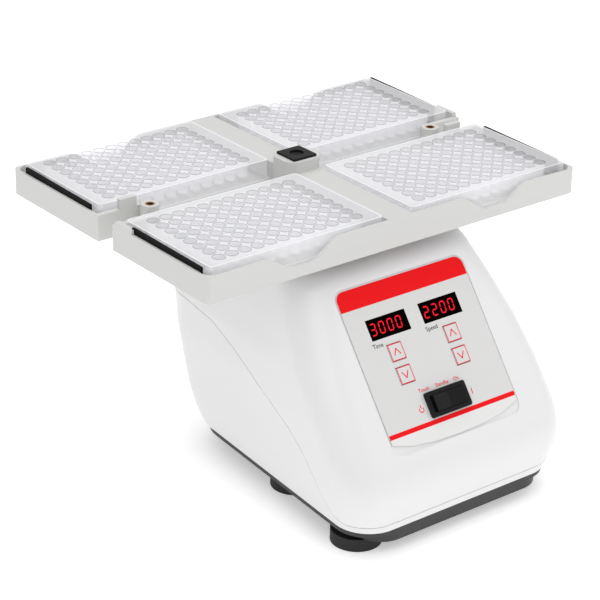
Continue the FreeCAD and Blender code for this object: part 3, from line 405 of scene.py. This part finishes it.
# Microplates: twelve by eight round wells in a thin deck, with clear walls on a flange
PLATE_X = 73.5
PLATE_Y = 54.5
PLATE_LENGTH = 127.76
PLATE_DEPTH = 85.48
PLATE_TOP = PLATE_FLOOR + 14.35
FLANGE_TOP = PLATE_FLOOR + 2.6
FLANGE_ROUND = 3.0
WALL_INSET = 2.8
WALL_ROUND = 2.6
RIM_WIDTH = 2.4
RIM_ROUND = 2.2
BORDER_WIDTH = 3.0
BORDER_ROUND = 2.0
DECK_TOP = PLATE_TOP - 0.35
PITCH = 9.0
COLUMNS = 12
ROWS = 8
WELL_RADIUS = 3.43
WELL_FOOT = 3.2
WELL_LOW = PLATE_TOP - 10.9
LIP_FOOT = WELL_RADIUS + 0.75
LIP_OUT = WELL_RADIUS + 0.6
LIP_IN = WELL_RADIUS + 0.1
WELL_SIDES = 24
CORNER_STEPS = 4
PLATE_CORNERS = ((1, 1), (-1, 1), (-1, -1), (1, -1))
PLATE_FINISH = (FINISH["clear_plastic"], CLEAR_WALL, CLEAR_EDGE_PAINTED_HIGHLIGHT, CLEAR_WELL, CLEAR_LIP_PAINTED_SHADE)
# The rim's kind carries a painted highlight.
DECK, WALL, PAINTED_RIM_HIGHLIGHT, WELL, PAINTED_SHADE_LIP = range(len(PLATE_FINISH))


def plate_mesh(centre_x, centre_y):
    """One plate's points, its faces, and the place in PLATE_FINISH of each face."""
    points = []
    faces = []
    kinds = []

    def add(x, y, z):
        points.append(((centre_x + x) * MM, (centre_y + y) * MM, z * MM))
        return len(points) - 1

    def face(corners, kind):
        faces.append(corners)
        kinds.append(kind)

    def join(low, high, kind):
        for i in range(len(low)):
            n = (i + 1) % len(low)
            face([low[i], low[n], high[n], high[i]], kind)

    def circle(radius, x, y, z):
        made = []
        for i in range(WELL_SIDES):
            turn = 2 * math.pi * i / WELL_SIDES
            made.append(add(x + radius * math.cos(turn), y + radius * math.sin(turn), z))
        return made

    def square(x, y, z):
        made = []
        for i in range(WELL_SIDES):
            c = math.cos(2 * math.pi * i / WELL_SIDES)
            s = math.sin(2 * math.pi * i / WELL_SIDES)
            reach = PITCH / 2 / max(abs(c), abs(s))
            made.append(add(x + reach * c, y + reach * s, z))
        return made

    def outline(inset, radius, z):
        made = []
        for number, (sx, sy) in enumerate(PLATE_CORNERS):
            centre = (sx * ((PLATE_LENGTH - inset) / 2 - radius), sy * ((PLATE_DEPTH - inset) / 2 - radius))
            rounded = arc(centre, radius, number * 90, number * 90 + 90, CORNER_STEPS)
            made += [add(x, y, z) for x, y in rounded]
        return made

    for column in range(COLUMNS):
        for row in range(ROWS):
            x = (column - (COLUMNS - 1) / 2) * PITCH
            y = (row - (ROWS - 1) / 2) * PITCH
            tile = square(x, y, DECK_TOP)
            lip_foot = circle(LIP_FOOT, x, y, DECK_TOP)
            lip_out = circle(LIP_OUT, x, y, PLATE_TOP)
            lip_in = circle(LIP_IN, x, y, PLATE_TOP)
            mouth = circle(WELL_RADIUS, x, y, DECK_TOP)
            foot = circle(WELL_FOOT, x, y, WELL_LOW)
            join(lip_foot, tile, DECK)
            # The lips carry painted shade.
            join(lip_out, lip_foot, PAINTED_SHADE_LIP)
            join(lip_in, lip_out, PAINTED_SHADE_LIP)
            join(mouth, lip_in, PAINTED_SHADE_LIP)
            join(foot, mouth, WELL)
            face(foot, WELL)

    grid = []
    for sx, sy in PLATE_CORNERS:
        grid += [add(sx * COLUMNS * PITCH / 2, sy * ROWS * PITCH / 2, DECK_TOP)] * (CORNER_STEPS + 1)
    border = outline(WALL_INSET + BORDER_WIDTH, BORDER_ROUND, DECK_TOP)
    rim_in = outline(WALL_INSET + RIM_WIDTH, RIM_ROUND, PLATE_TOP)
    rim_out = outline(WALL_INSET, WALL_ROUND, PLATE_TOP)
    wall_low = outline(WALL_INSET, WALL_ROUND, FLANGE_TOP)
    flange_top = outline(0, FLANGE_ROUND, FLANGE_TOP)
    flange_low = outline(0, FLANGE_ROUND, PLATE_FLOOR)
    for i in range(len(grid)):
        n = (i + 1) % len(grid)
        face(list(dict.fromkeys([grid[i], grid[n], border[n], border[i]])), DECK)
    join(border, rim_in, DECK)
    # The rim's top face carries the painted highlight.
    join(rim_in, rim_out, PAINTED_RIM_HIGHLIGHT)
    join(rim_out, wall_low, WALL)
    join(wall_low, flange_top, WALL)
    join(flange_top, flange_low, WALL)
    return points, faces, kinds


for place, (sx, sy) in QUARTERS.items():
    points, faces, kinds = plate_mesh(sx * PLATE_X, TRAY_Y + sy * PLATE_Y)
    plate = mesh_piece("wells_" + place, points, faces, PLATE_FINISH[DECK], "plate_" + place)
    for finish in PLATE_FINISH[1:]:
        plate.data.materials.append(finish)
    plate.data.polygons.foreach_set("material_index", kinds)
    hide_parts("microplate_" + place)

# Dark flange of the base, just inside the housing's lower edge
FLANGE_INSET = 0.8
FLANGE_LOW = 12.6
FLANGE_HIGH = 15.98
FRONT_Y = -131.0 + FLANGE_INSET
REAR_Y = 53.5 - FLANGE_INSET
FLANK_TAPER = 0.085
FRONT_HALF = 80.0 - FLANGE_INSET
REAR_HALF = FRONT_HALF - FLANK_TAPER * (REAR_Y - FRONT_Y)
FRONT_ROUND = 22.0
REAR_ROUND = 30.0
FLANGE_STEPS = 10
lean = math.degrees(math.atan(FLANK_TAPER))
front_in = FRONT_ROUND * math.tan(math.radians(45 + lean / 2))
rear_in = REAR_ROUND * math.tan(math.radians(45 - lean / 2))
half_flange = arc((FRONT_HALF - front_in, FRONT_Y + FRONT_ROUND), FRONT_ROUND, -90, lean, FLANGE_STEPS)
half_flange += arc((REAR_HALF - rear_in, REAR_Y - REAR_ROUND), REAR_ROUND, lean, 90, FLANGE_STEPS)
flange = half_flange + [(-x, y) for x, y in reversed(half_flange)]
prism("base_flange", flange, FLANGE_LOW, FLANGE_HIGH, FINISH["base_dark"], "housing")

# Tray: even rim, shallow skirt, tight corners and short finger scoops; SOLID sizes are the node's own
TRAY_HALF_X = 140.98
TRAY_HALF_Y = 99.99
END_WALL = 1.75
RIM_WALL = 2.4
SOLID_ROUND = 9.0
TRAY_ROUND = 4.0
TRAY_LOW = 158.2
SOLID_RIM = 170.5
SOLID_END = 176.65
RIM_TOP = 174.4
WEB_TOP = 175.95
SCOOP_X = 73.5
SOLID_SCOOP = 36.0
SOLID_SCOOP_FLAT = 16.0
SOLID_SCOOP_LOW = 164.3
SCOOP = 28.0
SCOOP_FLAT = 5.0
SCOOP_LOW = 164.9
NEAR = 0.05
HAIR = 0.01


def tray_shape(x, y, z):
    """The tray's points, moved to the rim, skirt, corners and scoops that the tray shows."""
    sx = math.copysign(1, x)
    sy = math.copysign(1, y - TRAY_Y)
    across = abs(x)
    along = abs(y - TRAY_Y)
    turn = Vector((across - TRAY_HALF_X + SOLID_ROUND, along - TRAY_HALF_Y + SOLID_ROUND))
    if min(turn) > -HAIR and abs(turn.length - SOLID_ROUND) < NEAR:
        turn *= TRAY_ROUND / turn.length
        across = TRAY_HALF_X - TRAY_ROUND + turn.x
        along = TRAY_HALF_Y - TRAY_ROUND + turn.y
    offset = across - SCOOP_X
    in_rim_wall = along > TRAY_HALF_Y - RIM_WALL - NEAR
    in_end_wall = across > TRAY_HALF_X - END_WALL - NEAR
    if in_rim_wall and abs(offset) < SOLID_SCOOP + HAIR and z > PLATE_FLOOR + NEAR:
        before, after = (SOLID_RIM, RIM_TOP) if offset > 0 else (WEB_TOP, WEB_TOP)
        z = SCOOP_LOW + (z - SOLID_SCOOP_LOW) * (after - SCOOP_LOW) / (before - SOLID_SCOOP_LOW)
        ramp = max(abs(offset) - SOLID_SCOOP_FLAT, 0) / (SOLID_SCOOP - SOLID_SCOOP_FLAT)
        flat = min(abs(offset) / SOLID_SCOOP_FLAT, 1)
        across = SCOOP_X + math.copysign(SCOOP_FLAT * flat + (SCOOP - SCOOP_FLAT) * ramp, offset)
    elif abs(z - SOLID_RIM) < NEAR or (abs(z - SOLID_END) < NEAR and in_end_wall):
        z = RIM_TOP
    return Vector((sx * across, TRAY_Y + sy * along, max(z, TRAY_LOW)))


smooth_copy("tray", "shaker", "tray_plastic", tray_shape)

# Solid corners of the tray, between its rounded outside and the plates
TRAY_FINISH = FINISH["tray_plastic"]
SKIN = 0.03
FILL_LOW = 163.0
POCKET_ROUND = 4.5
OUTSIDE_STEPS = 12
INSIDE_STEPS = 8
outside_at = (TRAY_HALF_X - TRAY_ROUND, TRAY_HALF_Y - TRAY_ROUND)
inside_at = (TRAY_HALF_X - END_WALL - POCKET_ROUND, TRAY_HALF_Y - RIM_WALL - POCKET_ROUND)
corner_plan = arc(outside_at, TRAY_ROUND - SKIN, 0, 90, OUTSIDE_STEPS)
corner_plan += arc(inside_at, POCKET_ROUND, 90, 0, INSIDE_STEPS)
for place, (sx, sy) in QUARTERS.items():
    ring = [(sx * x, TRAY_Y + sy * y) for x, y in corner_plan]
    if sx * sy < 0:
        ring.reverse()
    prism("tray_corner_" + place, ring, FILL_LOW, RIM_TOP - SKIN, TRAY_FINISH, "shaker")

# Grip strips inside the end walls: side, reach along y, and height at either end
STRIP_IN = 137.62
STRIP_OUT = TRAY_HALF_X - END_WALL + 0.02
STRIP_LOW = PLATE_FLOOR + 0.02
STRIPS = {
    "front_left": (-1, (-57.0, 9.2), (177.2, 177.9)), "rear_left": (-1, (52.5, 122.0), (177.2, 177.9)),
    "front_right": (1, (-52.0, 14.5), (176.3, 177.4)), "rear_right": (1, (61.8, 127.5), (176.3, 177.4)),
}
for place, (sx, y_range, tops) in STRIPS.items():
    x_range = sorted((sx * STRIP_IN, sx * STRIP_OUT))
    strip = block("strip_" + place, x_range, y_range, STRIP_LOW, tops, STRIP_BLACK)
    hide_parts("grip_" + place)

# Posts in the end walls, and the high walls beside the notches
POST_IN = 137.7
POST_OUT = TRAY_HALF_X - SKIN
POST_TOPS = (177.0, 177.0)
POSTS = {"rear_right": (1, (44.4, 61.5)), "front_left": (-1, (7.2, 23.5))}
for place, (sx, y_range) in POSTS.items():
    x_range = sorted((sx * POST_IN, sx * POST_OUT))
    block("end_post_" + place, x_range, y_range, FILL_LOW, POST_TOPS, TRAY_FINISH)
NOTCH_TOPS = (180.5, 180.5)
NOTCH_WALLS = {
    "rear_left": ((-125.0, -113.6), (41.48, 45.02)),
    "front_right": ((113.6, 125.0), (22.88, 26.42)),
}
for place, (x_range, y_range) in NOTCH_WALLS.items():
    block("notch_post_" + place, x_range, y_range, FILL_LOW, NOTCH_TOPS, TRAY_FINISH)

# Rubber lip round the drive neck, wide enough for the neck's whole orbit: radius and rise of its profile
DRIVE_Y = 31.5
COLLAR_TOP = 151.0
LIP_PROFILE = ((24.8, 0.05), (28.4, 0.05), (28.1, 1.2), (25.6, 3.4), (24.8, 3.4))
LIP_SIDES = 72
LIP_EDGE = 30
lip_points = []
lip_faces = []
for step in range(LIP_SIDES):
    turn = 2 * math.pi * step / LIP_SIDES
    for radius, rise in LIP_PROFILE:
        x = radius * math.cos(turn)
        y = DRIVE_Y + radius * math.sin(turn)
        lip_points.append((x * MM, y * MM, (COLLAR_TOP + rise) * MM))
    ring_now = step * len(LIP_PROFILE)
    ring_next = (step + 1) % LIP_SIDES * len(LIP_PROFILE)
    for corner in range(len(LIP_PROFILE)):
        after = (corner + 1) % len(LIP_PROFILE)
        lip_faces.append([ring_now + corner, ring_next + corner, ring_next + after, ring_now + after])
lip = mesh_piece("drive_lip", lip_points, lip_faces, FINISH["rubber"], "housing")
lip.data.shade_smooth()
lip.data.set_sharp_from_angle(angle=math.radians(LIP_EDGE))
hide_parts("drive_boot")

# Floor and light, in metres and watts
FLOOR_SIZE = 60
FLOOR_Z = -0.0002
SKY_STRENGTH = 0.62
bpy.ops.mesh.primitive_plane_add(size=FLOOR_SIZE, location=(0, 0, FLOOR_Z))
floor = bpy.context.object
floor.name = "floor"
floor.data.materials.append(material("floor_white", (0.93, 0.93, 0.93), 0.9, grain=0.02, glow=0.42))

world = bpy.data.worlds.new("studio") if scene.world is None else scene.world
scene.world = world
world.use_nodes = True
world.node_tree.nodes["Background"].inputs["Color"].default_value = (1, 1, 1, 1)
world.node_tree.nodes["Background"].inputs["Strength"].default_value = SKY_STRENGTH

LIGHT_TARGET = Vector((0, 0, 0.1))


def area_light(name, spot, side, power):
    """A square lamp that faces the part."""
    data = bpy.data.lights.new(name, "AREA")
    data.size = side
    data.energy = power
    lamp = bpy.data.objects.new(name, data)
    lamp.location = spot
    lamp.rotation_euler = (LIGHT_TARGET - Vector(spot)).to_track_quat("-Z", "Y").to_euler()
    scene.collection.objects.link(lamp)


area_light("key_light", (-0.5, -0.9, 1.7), 1.2, 6.5)
area_light("fill_light", (1.4, -1.0, 0.9), 1.2, 3.2)
area_light("top_light", (0.1, 0.4, 1.8), 1.4, 10)

# Camera
AZIMUTH = math.radians(39.069)
ELEVATION = math.radians(25.124)
ROLL = math.radians(1.401)
CAMERA_AT = Vector((-0.8199, -0.98289, 0.69743))
LENS = 137.48
SENSOR = 36
level = math.cos(ELEVATION)
forward = Vector((math.sin(AZIMUTH) * level, math.cos(AZIMUTH) * level, -math.sin(ELEVATION)))
right = Vector((math.cos(AZIMUTH), -math.sin(AZIMUTH), 0))
up = right.cross(forward)
right_rolled = right * math.cos(ROLL) + up * math.sin(ROLL)
up_rolled = up * math.cos(ROLL) - right * math.sin(ROLL)
camera_data = bpy.data.cameras.new("camera")
camera_data.sensor_fit = "HORIZONTAL"
camera_data.sensor_width = SENSOR
camera_data.lens = LENS
camera = bpy.data.objects.new("camera", camera_data)
turned = Matrix((right_rolled, up_rolled, -forward)).transposed()
camera.matrix_world = Matrix.Translation(CAMERA_AT) @ turned.to_4x4()
scene.collection.objects.link(camera)
scene.camera = camera
